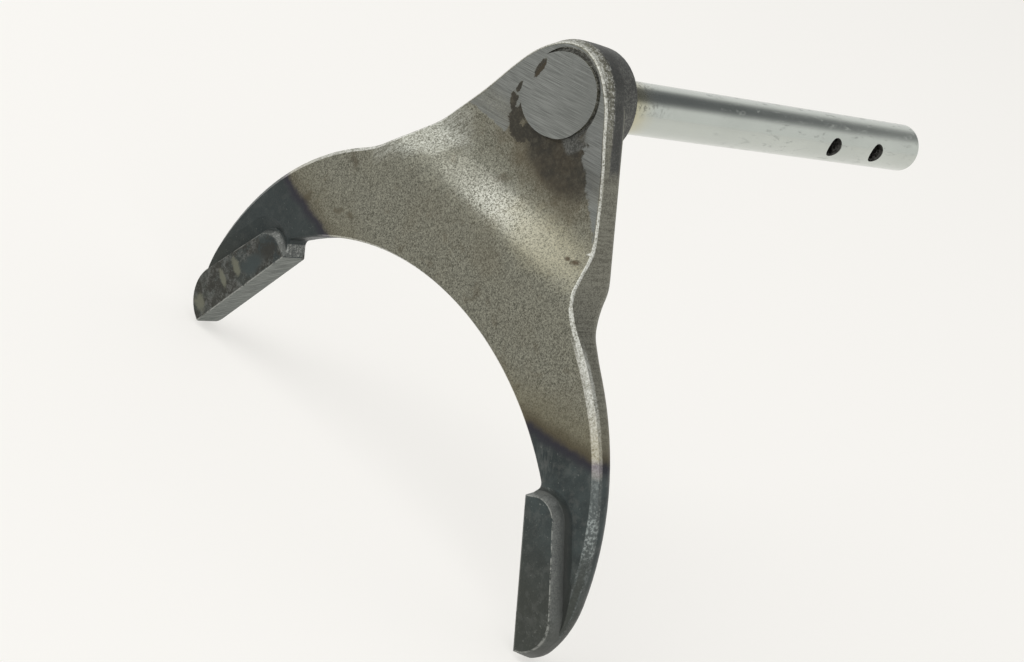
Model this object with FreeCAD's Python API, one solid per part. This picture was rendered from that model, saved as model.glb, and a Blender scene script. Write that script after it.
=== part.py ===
import FreeCAD, Part
import math
import os

# Power take-off shift fork: a drop-forged steel yoke with two hardened pads, welded on a round rod.
# Frame: the rod axis is Y, the hub face looks to -Y, the rod runs to +Y and the arms hang to -Z.
# The shapes are worked out from the centre of the hub face. At the end they all move along the rod,
# so that the origin is where the rod leaves the boss. Millimetres.

# Rod
rod_diameter = 14.0
rod_length = 160.0
rod_end_chamfer = 0.5
head_diameter = 21.0
head_length = 10.0
cross_hole_diameter = 6.0
cross_hole_spacing = 22.0
cross_hole_from_end = 22.2

# The rod is a little thicker where it sits in the hub, and has no play there:
# it is pressed in and then welded
seat_growth = 0.25
press_play = 0.0

# Weld in the groove round the head, and the crater that the last bead leaves
weld_width = 2.8
weld_root_width = 0.6
weld_depth = 2.4
crater_depth = 0.9
crater_radius = 12.0
crater_offset = 1.2
crater_angle = 62.0
ground_long_radius = 12.5
ground_short_radius = 10.9
ground_angle = 28.0
ground_shift = 0.9

# Hub
hub_thickness = 9.6
hub_radius = 14.1
shoulder_radius = 29.0
shoulder_angle = 53.7
flank_angle = 28.7
boss_length = 13.8
boss_radius = 14.3
flash_depth = 3.6
flash_growth = 0.9
barrel = 0.12
boss_bevel = 0.6

# Joggle between the hub and the arms
front_step = 7.85
back_step = 9.0
step_slope = 38.0
step_radius = 9.0
front_step_middle = 31.2
back_step_middle = 42.3
dish_depth = 0.9
dish_start = 2.0
dish_middle = 12.0
dish_radius = 45.0
arm_taper = 1.3

# Arms
outer_radius = 81.75
outer_crown_drop = 29.4
inner_radius = 83.85
inner_crown_drop = 58.05
neck_radius = 28.0
tip_shoulder_radius = 30.0
tip_shoulder_angle = 9.0
tip_radius = 10.0
tip_start_angle = -20.0
edge_radius = 0.8

# Drafted edge of the arms in front of the flash line, which drops away towards the tips
front_bevel_slope = 2.3
front_bevel_level = 7.0
front_bevel_from = 37.3
bevel_height = 3.0
bevel_inset = 2.9
back_round = 3.5

# Pads
pad_face_level = 7.85
pad_face_tilt = 2.5
pad_top_above_tip = 30.94
pad_ground_inside_tip = 1.15
pad_angle = 29.4
pad_length = 39.2
pad_top_width = 9.5
pad_bottom_width = 11.6
pad_top_radius = 6.0
pad_bottom_radius = 10.2
pad_wall_depth = 2.9
pad_wall_draft = 22.0
valley_slope = 27.0
valley_side_tilt = -6.0
valley_end_tilt = 1.2
valley_floor_width = 0.3
tip_corner_radius = 2.0
notch_round_share = 0.4
notch_lean = 28.0
pad_corner_radius = 0.4

# How far each pad reaches into the arm below it, and past its ground face before it is trimmed
pad_root = 1.5
pad_under = 4.0

rod_radius = rod_diameter / 2.0
head_radius = head_diameter / 2.0
arm_back_level = hub_thickness - back_step
outer_centre_drop = outer_crown_drop + outer_radius
inner_centre_drop = inner_crown_drop + inner_radius
prism_reach = 3.0 * hub_thickness


def point(across, up, depth=0.0):
    """A point from its place across and up in the outline, and its depth along the rod."""
    return FreeCAD.Vector(across, depth, up)


def on_circle(centre, radius, degrees):
    """The point of a circle in the outline plane at an angle from +X towards +Z."""
    angle = math.radians(degrees)
    across = centre[0] + radius * math.cos(angle)
    up = centre[1] + radius * math.sin(angle)
    return (across, up)


def angle_of(centre, target):
    """The angle in degrees from a centre to a point."""
    return math.degrees(math.atan2(target[1] - centre[1], target[0] - centre[0]))


def line(first, second):
    return Part.LineSegment(point(*first), point(*second)).toShape()


def arc(centre, radius, start, end):
    """An arc between two angles, through the angle halfway."""
    first = point(*on_circle(centre, radius, start))
    middle = point(*on_circle(centre, radius, (start + end) / 2.0))
    last = point(*on_circle(centre, radius, end))
    return Part.Arc(first, middle, last).toShape()


def circle_crossing(centre, radius, start, direction, side):
    """Where a line through a start point crosses a circle: side -1 going in, side 1 going out."""
    across = start[0] - centre[0]
    up = start[1] - centre[1]
    half = across * direction[0] + up * direction[1]
    rest = across * across + up * up - radius * radius
    reach = -half + side * math.sqrt(half * half - rest)
    return (start[0] + reach * direction[0], start[1] + reach * direction[1])


def mirrored(edges):
    """The edges of one half with those of the other half, mirrored across X."""
    twins = []
    for edge in edges:
        twins.append(edge.mirror(FreeCAD.Vector(0, 0, 0), FreeCAD.Vector(1, 0, 0)))
    return edges + twins


def closed_face(edges):
    wire = Part.Wire(Part.__sortEdges__(edges))
    return Part.Face(wire)


# Centres that the outer outline shares at every inset
hub_centre = (0.0, 0.0)
shoulder_centre = on_circle(hub_centre, hub_radius - shoulder_radius, shoulder_angle)
outer_centre = (0.0, -outer_centre_drop)
inner_centre = (0.0, -inner_centre_drop)
flank_normal = (math.cos(math.radians(flank_angle)), math.sin(math.radians(flank_angle)))
flank_line = (flank_normal[1], -flank_normal[0])

# The neck arc lies outside: it touches the flank and the outer circle
neck_foot = on_circle(shoulder_centre, shoulder_radius + neck_radius, flank_angle)
neck_centre = circle_crossing(outer_centre, outer_radius + neck_radius, neck_foot, flank_line, -1)
tip_shoulder_centre = on_circle(outer_centre, outer_radius - tip_shoulder_radius, tip_shoulder_angle)
tip_centre = on_circle(tip_shoulder_centre, tip_shoulder_radius - tip_radius, tip_start_angle)

# The ground face of the right pad, from its top corner downwards
pad_line = (math.sin(math.radians(pad_angle)), -math.cos(math.radians(pad_angle)))
pad_out = (math.cos(math.radians(pad_angle)), math.sin(math.radians(pad_angle)))
pad_top = (
    tip_centre[0] - pad_top_above_tip * pad_line[0] - pad_ground_inside_tip * pad_out[0],
    tip_centre[1] - pad_top_above_tip * pad_line[1] - pad_ground_inside_tip * pad_out[1],
)
tip_corner = circle_crossing(tip_centre, tip_radius, pad_top, pad_line, 1)


def outer_edges(inset):
    """The right half of the outer outline, moved inwards by an inset, with its last point."""
    shoulder = shoulder_radius - inset
    flank_start = on_circle(shoulder_centre, shoulder, flank_angle)
    flank_end = on_circle(neck_centre, neck_radius + inset, flank_angle + 180.0)
    meet_angle = angle_of(outer_centre, neck_centre)
    tip_end = angle_of(tip_centre, tip_corner)
    edges = [
        arc(hub_centre, hub_radius - inset, 90.0, shoulder_angle),
        arc(shoulder_centre, shoulder, shoulder_angle, flank_angle),
        line(flank_start, flank_end),
        arc(neck_centre, neck_radius + inset, flank_angle + 180.0, meet_angle + 180.0),
        arc(outer_centre, outer_radius - inset, meet_angle, tip_shoulder_angle),
        arc(tip_shoulder_centre, tip_shoulder_radius - inset, tip_shoulder_angle, tip_start_angle),
        arc(tip_centre, tip_radius - inset, tip_start_angle, tip_end),
    ]
    return edges, on_circle(tip_centre, tip_radius - inset, tip_end)


def outer_wire(inset):
    """The closed outer outline with an open yard below the tips, for the bevels."""
    edges, last = outer_edges(inset)
    yard = (last[0], -1.9 * outer_centre_drop)
    edges.append(line(last, yard))
    edges.append(line(yard, (0.0, yard[1])))
    return Part.Wire(Part.__sortEdges__(mirrored(edges)))


def edges_along(shape, spots):
    """The edges along the rod direction that stand at the given outline spots, on both sides."""
    found = []
    for edge in shape.Edges:
        ends = [vertex.Point for vertex in edge.Vertexes]
        if len(ends) != 2 or abs(ends[0].y - ends[1].y) < 1.0:
            continue
        for spot in spots:
            near = math.hypot(abs(ends[0].x) - spot[0], ends[0].z - spot[1])
            far = math.hypot(abs(ends[1].x) - spot[0], ends[1].z - spot[1])
            if max(near, far) < 0.05:
                found.append(edge)
    return found


def cross_edges(shape, spots):
    """The edges across the slab along X that stand at the given profile spots."""
    found = []
    for edge in shape.Edges:
        ends = [vertex.Point for vertex in edge.Vertexes]
        if len(ends) != 2 or abs(ends[0].x - ends[1].x) < 1.0:
            continue
        for up, depth in spots:
            if math.hypot(ends[0].y - depth, ends[0].z - up) < 0.01:
                found.append(edge)
    return found


def rim_edges(shape, rim, front):
    """The front or back edges of the plate that follow a rim given as flat edges."""
    found = []
    for edge in shape.Edges:
        middle = edge.valueAt((edge.FirstParameter + edge.LastParameter) / 2.0)
        ends = [vertex.Point for vertex in edge.Vertexes]
        if math.hypot(ends[0].x - ends[-1].x, ends[0].z - ends[-1].z) < 0.01:
            continue
        flat = Part.Vertex(FreeCAD.Vector(middle.x, 0.0, middle.z))
        if flat.distToShape(rim)[0] > 0.01:
            continue
        before = FreeCAD.Vector(middle.x * 0.99, middle.y - edge_radius, middle.z)
        inside = shape.isInside(before, 0.01, False)
        before = FreeCAD.Vector(middle.x * 1.01, middle.y - edge_radius, middle.z)
        inside = inside or shape.isInside(before, 0.01, False)
        if inside != front:
            found.append(edge)
    return found


def pad_point(along, out, depth):
    """A point of the right pad: along its ground face from the top, outwards from it, and deep."""
    across = pad_top[0] + along * pad_line[0] + out * pad_out[0]
    up = pad_top[1] + along * pad_line[1] + out * pad_out[1]
    return FreeCAD.Vector(across, depth, up)


def pad_wire(grow, depth):
    """The D of a pad: straight on its ground side, two round corners on the other, grown evenly."""
    inner = -pad_under - grow
    first = pad_point(-grow, inner, depth)
    corner_top = pad_point(-grow, pad_top_width + grow, depth)
    corner_bottom = pad_point(pad_length + grow, pad_bottom_width + grow, depth)
    last = pad_point(pad_length + grow, inner, depth)
    outline = Part.makePolygon([first, corner_top, corner_bottom, last, first])
    flat = Part.Face(outline)
    block = flat.extrude(FreeCAD.Vector(0, 1.0, 0))
    for corner, radius in ((corner_top, pad_top_radius + grow), (corner_bottom, pad_bottom_radius + grow)):
        spot = (corner.x, corner.z)
        block = block.makeFillet(radius, edges_along(block, [spot]))
    for face in block.Faces:
        if abs(face.CenterOfMass.y - depth) < 0.01:
            return face.OuterWire
    return None


def mirror_twin(shape):
    """The mirror twin of a shape, for the other arm."""
    return shape.mirror(FreeCAD.Vector(0, 0, 0), FreeCAD.Vector(1, 0, 0))


def turned(points):
    """A solid turned about the rod axis from points given as radius and depth."""
    corners = [FreeCAD.Vector(radius, depth, 0) for radius, depth in points]
    section = Part.Face(Part.makePolygon(corners + [corners[0]]))
    return section.revolve(FreeCAD.Vector(0, 0, 0), FreeCAD.Vector(0, 1, 0), 360)


def swollen_line(first, last, swell):
    """A shallow arc between two flat points, bulging by a swell to the right of the way it runs."""
    along = (last[0] - first[0], last[1] - first[1])
    length = math.hypot(*along)
    middle = ((first[0] + last[0]) / 2.0 + swell * along[1] / length,
              (first[1] + last[1]) / 2.0 - swell * along[0] / length)
    return Part.Arc(point(*first), point(*middle), point(*last)).toShape()


def rod_hole(radius, depth):
    """A round cutter across the rod along X, at a depth along it."""
    reach = 2.0 * rod_radius
    foot = FreeCAD.Vector(-reach, depth, 0)
    return Part.makeCylinder(radius, 2.0 * reach, foot, FreeCAD.Vector(1, 0, 0))


# Outline of the whole yoke seen from the front, with round notches and sharp corners at the tips
notch_line = (math.sin(math.radians(notch_lean)), math.cos(math.radians(notch_lean)))
notch_corner = circle_crossing(inner_centre, inner_radius, pad_top, notch_line, 1)
notch_length = math.hypot(notch_corner[0] - pad_top[0], notch_corner[1] - pad_top[1])
notch_radius = notch_round_share * notch_length
outer_half, tip_end_point = outer_edges(0.0)
inner_arc = arc(inner_centre, inner_radius, angle_of(inner_centre, notch_corner), 90.0)
ground_edges = [line(tip_end_point, pad_top), line(pad_top, notch_corner)]
outline_face = closed_face(mirrored(outer_half + ground_edges + [inner_arc]))
outline_prism = outline_face.extrude(FreeCAD.Vector(0, 2.0 * prism_reach, 0))
outline_prism.translate(FreeCAD.Vector(0, -prism_reach, 0))
outline_prism = outline_prism.makeFillet(notch_radius, edges_along(outline_prism, [notch_corner]))

# Side profile: the hub plate, the joggle and the tapered arms
step_tangent = math.tan(math.radians(step_slope))
taper_tangent = math.tan(math.radians(arm_taper))
front_half_run = front_step / step_tangent / 2.0
back_half_run = back_step / step_tangent / 2.0
low_end = -1.6 * outer_centre_drop
front_low = -front_step_middle - front_half_run
front_end_depth = -front_step + taper_tangent * (front_low - low_end)
profile_points = [
    (2.0 * hub_radius, 0.0),
    (-dish_start, 0.0),
    (-dish_middle, dish_depth),
    (-front_step_middle + front_half_run, 0.0),
    (front_low, -front_step),
    (low_end, front_end_depth),
    (low_end, arm_back_level),
    (-back_step_middle - back_half_run, arm_back_level),
    (-back_step_middle + back_half_run, hub_thickness),
    (2.0 * hub_radius, hub_thickness),
]
step_bends = [profile_points[index] for index in (3, 4, 7, 8)]
dish_bends = [profile_points[index] for index in (1, 2)]
corners = [FreeCAD.Vector(-2.0 * outer_radius, depth, up) for up, depth in profile_points]
profile = Part.Face(Part.makePolygon(corners + [corners[0]]))
slab = profile.extrude(FreeCAD.Vector(4.0 * outer_radius, 0, 0))
slab = slab.makeFillet(dish_radius, cross_edges(slab, dish_bends))
slab = slab.makeFillet(step_radius, cross_edges(slab, step_bends))
plate = slab.common(outline_prism)

# Edges of the plate: worn round on the front and the inner arc, full and round on the back
outer_rim = Part.Compound(mirrored(outer_half))
inner_rim = Part.Compound(mirrored([inner_arc]))
plate = plate.makeFillet(edge_radius, rim_edges(plate, outer_rim, True))
plate = plate.makeFillet(edge_radius, rim_edges(plate, inner_rim, True))
plate = plate.makeFillet(edge_radius, rim_edges(plate, inner_rim, False))
plate = plate.makeFillet(back_round, rim_edges(plate, outer_rim, False))

# Drafted front edge of the arms: all that lies in front of the flash line and outside the draft
inner_wire = outer_wire(bevel_inset)
inner_wire.translate(FreeCAD.Vector(0, -bevel_height, 0))
draft_core = Part.makeLoft([outer_wire(0.0), inner_wire], True, True)
width = 4.0 * outer_radius
bevel_cutter = Part.makeBox(width, bevel_height, width, FreeCAD.Vector(-width / 2.0, -bevel_height, -width * 0.8))
bevel_cutter = bevel_cutter.cut(draft_core)
bevel_cutter.rotate(FreeCAD.Vector(0, 0, 0), FreeCAD.Vector(1, 0, 0), front_bevel_slope)
lift = front_bevel_from * math.tan(math.radians(front_bevel_slope))
bevel_cutter.translate(FreeCAD.Vector(0, -front_bevel_level - lift, 0))
yoke = plate.cut(bevel_cutter)

# Hollow that runs round each pad, with a slanting outer side
draft_tangent = math.tan(math.radians(pad_wall_draft))
valley_tangent = math.tan(math.radians(valley_slope))
valley_floor = -pad_face_level + pad_wall_depth
floor_grow = pad_wall_depth * draft_tangent + valley_floor_width
valley_top = -pad_face_level - pad_wall_depth
top_grow = floor_grow + (valley_floor - valley_top) / valley_tangent
valley = Part.makeLoft([pad_wire(floor_grow, valley_floor), pad_wire(top_grow, valley_top)], True, True)
hinge = pad_point(pad_length, pad_top_width, valley_floor)
valley.rotate(hinge, FreeCAD.Vector(pad_line[0], 0, pad_line[1]), valley_side_tilt)
valley.rotate(hinge, FreeCAD.Vector(pad_out[0], 0, pad_out[1]), valley_end_tilt)
yoke = yoke.cut([valley, mirror_twin(valley)])

# Pads: raised D shapes with drafted walls, their faces tilted a little outwards
base_depth = pad_wall_depth + pad_root
pad_base = -pad_face_level + base_depth
pad = Part.makeLoft([pad_wire(0.0, -pad_face_level), pad_wire(base_depth * draft_tangent, pad_base)], True, True)
hinge = pad_point(0.0, 0.0, -pad_face_level)
axis = pad_point(1.0, 0.0, -pad_face_level).sub(hinge)
pad.rotate(hinge, axis, pad_face_tilt)
yoke = yoke.fuse([pad, mirror_twin(pad)])

# Round the tips and the pad corners in the outline, and trim the yoke to it
outline_prism = outline_prism.makeFillet(tip_corner_radius, edges_along(outline_prism, [tip_corner]))
outline_prism = outline_prism.makeFillet(pad_corner_radius, edges_along(outline_prism, [pad_top]))
yoke = yoke.common(outline_prism)

# Round hub: drafted both ways from its flash line, slightly barrelled, and run out into the boss
flash_radius = hub_radius + flash_growth
boss_corners = [
    (hub_radius, edge_radius),
    (flash_radius, flash_depth),
    (boss_radius, boss_length - boss_bevel),
    (boss_radius - boss_bevel, boss_length),
]
boss_edges = [line((0.0, boss_length), (0.0, edge_radius)), line((0.0, edge_radius), boss_corners[0])]
for first, last in zip(boss_corners[:2], boss_corners[1:3]):
    boss_edges.append(swollen_line(first, last, barrel))
boss_edges.append(line(boss_corners[2], boss_corners[3]))
boss_edges.append(line(boss_corners[3], (0.0, boss_length)))
boss_section = closed_face(boss_edges)
boss_section.rotate(FreeCAD.Vector(0, 0, 0), FreeCAD.Vector(1, 0, 0), -90)
boss = boss_section.revolve(FreeCAD.Vector(0, 0, 0), FreeCAD.Vector(0, 1, 0), 360)
yoke = yoke.fuse(boss)

# Bore for the rod and its head, and the groove for the weld
seat_radius = rod_radius + seat_growth
bore_radius = seat_radius + press_play
pocket_radius = head_radius + press_play
yoke = yoke.cut(turned([
    (0.0, -1.0),
    (pocket_radius, -1.0),
    (pocket_radius, head_length),
    (bore_radius, head_length),
    (bore_radius, boss_length + 1.0),
    (0.0, boss_length + 1.0),
]))
weld_section = [
    (pocket_radius, 0.0),
    (pocket_radius + weld_width, 0.0),
    (pocket_radius + weld_root_width, weld_depth),
    (pocket_radius, weld_depth),
]
weld_ring = turned(weld_section)
yoke = yoke.cut(weld_ring)
yoke = yoke.removeSplitter()

# Rod: turned, with a head that sits on the shoulder of the bore, and two cross holes
rod = turned([
    (0.0, 0.0),
    (head_radius, 0.0),
    (head_radius, head_length),
    (seat_radius, head_length),
    (seat_radius, boss_length),
    (rod_radius, boss_length),
    (rod_radius, rod_length - rod_end_chamfer),
    (rod_radius - rod_end_chamfer, rod_length),
    (0.0, rod_length),
])
hole_far = rod_length - cross_hole_from_end
for hole_depth in (hole_far, hole_far - cross_hole_spacing):
    rod = rod.cut(rod_hole(cross_hole_diameter / 2.0, hole_depth))

# Weld ring: ground flush where the disc was faced. Round that it follows the dished hub face, and the
# last bead leaves it low in a crescent crater
crater_centre = on_circle((0.0, 0.0), crater_offset, crater_angle)
crater = Part.makeCylinder(crater_radius, crater_depth + 1.0,
                           FreeCAD.Vector(crater_centre[0], -1.0, crater_centre[1]), FreeCAD.Vector(0, 1, 0))
ground_centre = on_circle((0.0, 0.0), -ground_shift, -ground_angle / 2.0)
long_point = on_circle(ground_centre, ground_long_radius, ground_angle)
short_point = on_circle(ground_centre, ground_short_radius, ground_angle + 90.0)
ground_ellipse = Part.Ellipse(point(*long_point, -1.0), point(*short_point, -1.0), point(*ground_centre, -1.0))
ground_face = Part.Face(Part.Wire([ground_ellipse.toShape()]))
ground_disc = ground_face.extrude(FreeCAD.Vector(0, weld_depth + 2.0, 0))
faced_weld = weld_ring.common(ground_disc)
raw_weld = weld_ring.common(slab).cut([crater, ground_disc])
weld_ring = faced_weld.fuse(raw_weld).removeSplitter()

# Move the origin to the point of the rod axis in the plane of the boss's end
for piece in (yoke, rod, weld_ring):
    piece.translate(FreeCAD.Vector(0, -boss_length, 0))

os.makedirs("parts", exist_ok=True)
yoke.exportStep("parts/shift_fork.step")
rod.exportStep("parts/shift_rod.step")
weld_ring.exportStep("parts/weld_ring.step")
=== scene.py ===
import math

import bpy
from mathutils import Matrix, Vector


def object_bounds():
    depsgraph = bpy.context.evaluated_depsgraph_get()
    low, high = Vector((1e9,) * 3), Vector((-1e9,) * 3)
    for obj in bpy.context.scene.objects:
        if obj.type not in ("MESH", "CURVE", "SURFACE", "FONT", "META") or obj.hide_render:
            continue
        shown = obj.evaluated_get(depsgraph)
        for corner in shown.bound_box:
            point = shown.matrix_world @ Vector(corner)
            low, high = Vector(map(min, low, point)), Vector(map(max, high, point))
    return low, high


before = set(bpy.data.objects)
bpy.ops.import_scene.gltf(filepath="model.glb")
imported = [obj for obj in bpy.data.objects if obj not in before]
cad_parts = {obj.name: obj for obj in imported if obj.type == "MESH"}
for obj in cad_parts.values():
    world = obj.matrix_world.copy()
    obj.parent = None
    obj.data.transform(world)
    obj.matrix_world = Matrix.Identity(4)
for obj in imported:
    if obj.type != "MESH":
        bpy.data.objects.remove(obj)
cad_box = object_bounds()

# Frame of the materials: millimetres, with zero depth in the plane of the hub face
BOSS_LENGTH = 13.8
MILLIMETRE = 0.001

# Camera at the photograph's place
CAMERA_PLACE = (0.344422, -0.456869, 0.155266)
CAMERA_RIGHT = (0.613961, 0.657450, 0.436819)
CAMERA_UP = (-0.565987, -0.019058, 0.824194)
CAMERA_BACK = (0.550192, -0.753257, 0.360407)
CAMERA_LENS = 81.3353
SENSOR_WIDTH = 36.0
CLIP_START = 0.01

# Ground disc on the hub face, in millimetres and degrees from +X towards +Z
DISC_CENTRE = (-0.86, 0.24)
DISC_RADII = (12.5, 10.9)
DISC_ANGLE = 28.0
GRIND_ANGLE = 9.5

# Ground face of the right pad: its top corner, the way down along it and the way out from it. The raised
# face has an upper and a lower width and corner radius, and the radius changes round the middle
PAD_TOP = (53.72, -83.50)
PAD_LINE = (0.4909, -0.8712)
PAD_OUT = (0.8712, 0.4909)
PAD_LENGTH = 39.2
PAD_WIDTHS = (9.5, 11.6)
PAD_RADII = (6.0, 10.2)
PAD_CHANGE = 6.0

# Faces that meet at a smaller angle than this, in degrees, are shaded smooth
SMOOTH_ANGLE = 28.0

# Arcs of the right arm's outer outline, down to the tip, and the angles at which they meet
ARC_CENTRES = [(0.0, -111.15), (51.11, -103.05), (69.91, -109.89)]
ARC_RADII = [81.75, 30.0, 10.0]
ARC_TURNS = [9.0, -20.0]

# Front face of the arms and the foot of their bevel: slope along the arm and depth at the hub's centre.
# The share is how far the bevel runs inwards over its depth
ARM_TAPER = 0.0227
FACE_DEPTH = 8.67
BEVEL_TAPER = 0.0402
BEVEL_DEPTH = 8.498
BEVEL_SHARE = 0.967

# Small torn burrs: one on the left pad's back corner, one on the right tip's back edge
BURRS = [((-53.9, 0.2, -83.6), 0.9), ((76.6, 0.2, -117.3), 1.0)]

# Heights in millimetres: the middle of the step, the start of the blue, the top of the pads, the brightest
# glints on the bevel, and the middle of its fading towards the tip
STEP_HEIGHT = -31.6
HEAT_HEIGHT = -66.9
PAD_HEIGHT = -79.0
GLINT_HEIGHT = -81.0
TIP_HEIGHT = -86.0

# Depths on the rod, in millimetres: its ground head, and its end without the chamfer
HEAD_DEPTH = 5.0
ROD_END = 158.5

# Marks on the front of the forging, and the places of the step's painted sheen and of its warm end: centre,
# radii and angle
SEAM_PIT = ((-9.9, 3.0), (2.8, 1.05), 80.0)
HUB_BROWN = ((5.0, -15.5), (23.0, 10.0), -8.0)
HUB_SCORCH = ((8.6, -9.4), (17.5, 13.0), -12.0)
STEP_MIDDLE = ((3.0, -31.6), (24.0, 5.6), 0.0)
STEP_WARM_SHEEN_SPOT = ((20.0, -31.0), (17.0, 6.5), 0.0)
STEP_NICK = ((31.8, -26.3), (1.2, 0.35), 34.0)
STEP_PITS = [((30.3, -29.9), (1.2, 0.55), 25.0), ((27.8, -30.3), (0.7, 0.4), 0.0)]
NOTCH_RUB = ((53.4, -74.4), (6.5, 3.6), -56.0)
PAD_BLUE = ((-63.0, -92.0), (6.0, 3.2), 60.0)
PAD_BLACK = ((-60.6, -84.6), (5.0, 3.0), 60.0)

# Dark blotches round the ground disc: place, radii and angle of each blotch
BLOTCHES = [
    ((-13.2, -4.5), (1.8, 0.7), 80.0),
    ((-13.4, -8.6), (2.2, 1.4), 110.0),
    ((-10.2, -11.2), (3.0, 2.2), 60.0),
    ((-7.4, -14.6), (3.6, 1.9), 0.0),
    ((0.0, -12.6), (6.5, 2.6), -3.0),
    ((9.5, -9.4), (5.6, 4.4), 38.0),
]

# Rust on the left arm and over the step: place, radii and angle
RUST_SPOTS = [
    ((-45.5, -47.7), (2.3, 1.0), -35.0),
    ((-56.0, -65.7), (2.4, 1.1), 60.0),
    ((-43.7, -62.0), (1.9, 0.8), 40.0),
    ((-39.0, -60.6), (1.0, 0.6), 0.0),
    ((-3.8, -26.1), (1.8, 1.0), 30.0),
]

# Pale scale on the face of the left pad: place, radii and angle
PALE_SPOTS = [
    ((-67.8, -96.0), (2.5, 1.2), -33.0),
    ((-70.6, -101.6), (2.6, 1.1), -33.0),
    ((-74.8, -112.6), (2.4, 2.0), -33.0),
]

# How far the edge of a blotch wanders with the noise it is given
WANDER = 1.3

# Numbers of the colour sockets on a mix node, whose other sockets are for values and vectors
MIX_COLOURS = (6, 7)
MIX_RESULT = 2

# Colours of the forging
SKIN_DARK = (0.072, 0.071, 0.055)
SKIN_LIGHT = (0.345, 0.341, 0.276)
SKIN_BROWN = (0.150, 0.128, 0.082)
RUST = (0.072, 0.057, 0.036)
# The step's painted sheen, and its warm end, a warm tint that also carries the painted sheen
STEP_SHEEN = (0.540, 0.542, 0.485)
STEP_WARM_SHEEN = (0.345, 0.318, 0.215)
PIT_BROWN = (0.045, 0.026, 0.012)
RUB_DARK = (0.250, 0.252, 0.225)
RUB_LIGHT = (0.520, 0.530, 0.475)
GROUND_DARK = (0.125, 0.132, 0.124)
GROUND_LIGHT = (0.275, 0.286, 0.272)
# Painted shade in the weld's low crescent, and its lighter mottle
CRATER_SHADE = (0.060, 0.060, 0.054)
CRATER_LIGHT = (0.170, 0.172, 0.158)
SCORCH_BLACK = (0.026, 0.024, 0.018)
SCORCH_BROWN = (0.050, 0.041, 0.027)
SCORCH_GREY = (0.095, 0.086, 0.064)
UNDER_BROWN = (0.098, 0.078, 0.047)
SIDE_DARK = (0.135, 0.130, 0.104)
SIDE_LIGHT = (0.285, 0.280, 0.232)
# Darker colours of the hub's sides round the boss
BOSS_SIDE_DARK = (0.075, 0.076, 0.072)
BOSS_SIDE_LIGHT = (0.200, 0.202, 0.184)
# Bright worn metal, which on the rounded edges and bevel also stands for a painted highlight, and the worn
# edges' heat colours
WEAR_AND_HIGHLIGHT = (0.740, 0.745, 0.700)
STRAW_WEAR_AND_HIGHLIGHT = (0.380, 0.330, 0.200)
PURPLE_WEAR_AND_HIGHLIGHT = (0.150, 0.130, 0.190)
WORN_BLUE = (0.062, 0.075, 0.075)
GLINT_BLUE = (0.310, 0.345, 0.335)
STRAW = (0.165, 0.142, 0.076)
TINT_BROWN = (0.072, 0.058, 0.034)
TINT_PURPLE = (0.034, 0.033, 0.042)
BLUE_DARK = (0.019, 0.028, 0.030)
BLUE_LIGHT = (0.046, 0.062, 0.063)
BLACK_BROWN = (0.042, 0.046, 0.038)
# Worn rims, also used for the painted glints on the left notch side
RIM_WEAR_AND_GLINT = (0.500, 0.510, 0.475)
FLECK = (0.240, 0.250, 0.232)
PALE_SCALE = (0.165, 0.168, 0.125)
WALL_DARK = (0.120, 0.125, 0.118)
WALL_LIGHT = (0.270, 0.278, 0.262)
PAD_GROUND_DARK = (0.075, 0.086, 0.078)
PAD_GROUND_LIGHT = (0.270, 0.290, 0.264)

# Colours of the rod
ROD_LIGHT = (0.560, 0.590, 0.552)
ROD_DARK = (0.360, 0.385, 0.360)
ROD_STRAW = (0.520, 0.460, 0.250)
ROD_BURNT = (0.150, 0.135, 0.075)
ROD_SOOT = (0.080, 0.080, 0.070)
HOLE_DARK = (0.060, 0.058, 0.052)
HOLE_LIGHT = (0.420, 0.415, 0.390)

# Metalness, roughness and relief. A relief is the bump's strength and its height in metres
FORGING_METAL = 0.80
FORGING_ROUGH = 0.52
SKIN_RELIEF = (0.70, 0.00020)
WAVE_RELIEF = (0.30, 0.0006)
ROD_METAL = 0.97
ROD_ROUGH = 0.16
ROD_RELIEF = (0.35, 0.0002)

# Lamps: a large soft one high on the left, and a weak one on the right
LAMP_AIM = (0.0, 0.0, -0.05)
KEY_PLACE = (-1.05, -1.05, 1.35)
KEY_SIZE = 2.0
KEY_POWER = 17.0
FILL_PLACE = (1.6, -1.0, 0.7)
FILL_SIZE = 1.2
FILL_POWER = 6.0

# Pale stage
BACKGROUND = (0.922, 0.905, 0.871)
FLOOR_SIZE = 12.0
FLOOR_DROP = 0.0005
FLOOR_COLOUR = (0.40, 0.392, 0.378)
FLOOR_GLOW = (0.580, 0.571, 0.548)
ROOM_LIGHT = (0.84, 0.84, 0.82)
ROOM_DARK = (0.12, 0.125, 0.13)
ROOM_SOFT = (0.62, 0.62, 0.62)
DARK_UPWARD = (0.38, 0.60)
DARK_BEHIND = (0.0, 0.45)


class Field:
    """A number or a vector in a node tree, with arithmetic that adds the nodes."""

    def __init__(self, tree, socket):
        self.tree = tree
        self.socket = socket

    def math(self, operation, *others):
        node = self.tree.nodes.new("ShaderNodeMath")
        node.operation = operation
        for index, value in enumerate((self,) + others):
            put(self.tree, node.inputs[index], value)
        return Field(self.tree, node.outputs[0])

    def __add__(self, other):
        return self.math("ADD", other)

    def __sub__(self, other):
        return self.math("SUBTRACT", other)

    def __mul__(self, other):
        return self.math("MULTIPLY", other)

    def __truediv__(self, other):
        return self.math("DIVIDE", other)

    __radd__ = __add__
    __rmul__ = __mul__

    def __rsub__(self, other):
        return (self * -1.0) + other

    def abs(self):
        return self.math("ABSOLUTE")

    def sqrt(self):
        return self.math("SQRT")

    def max(self, other):
        return self.math("MAXIMUM", other)

    def min(self, other):
        return self.math("MINIMUM", other)


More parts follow.
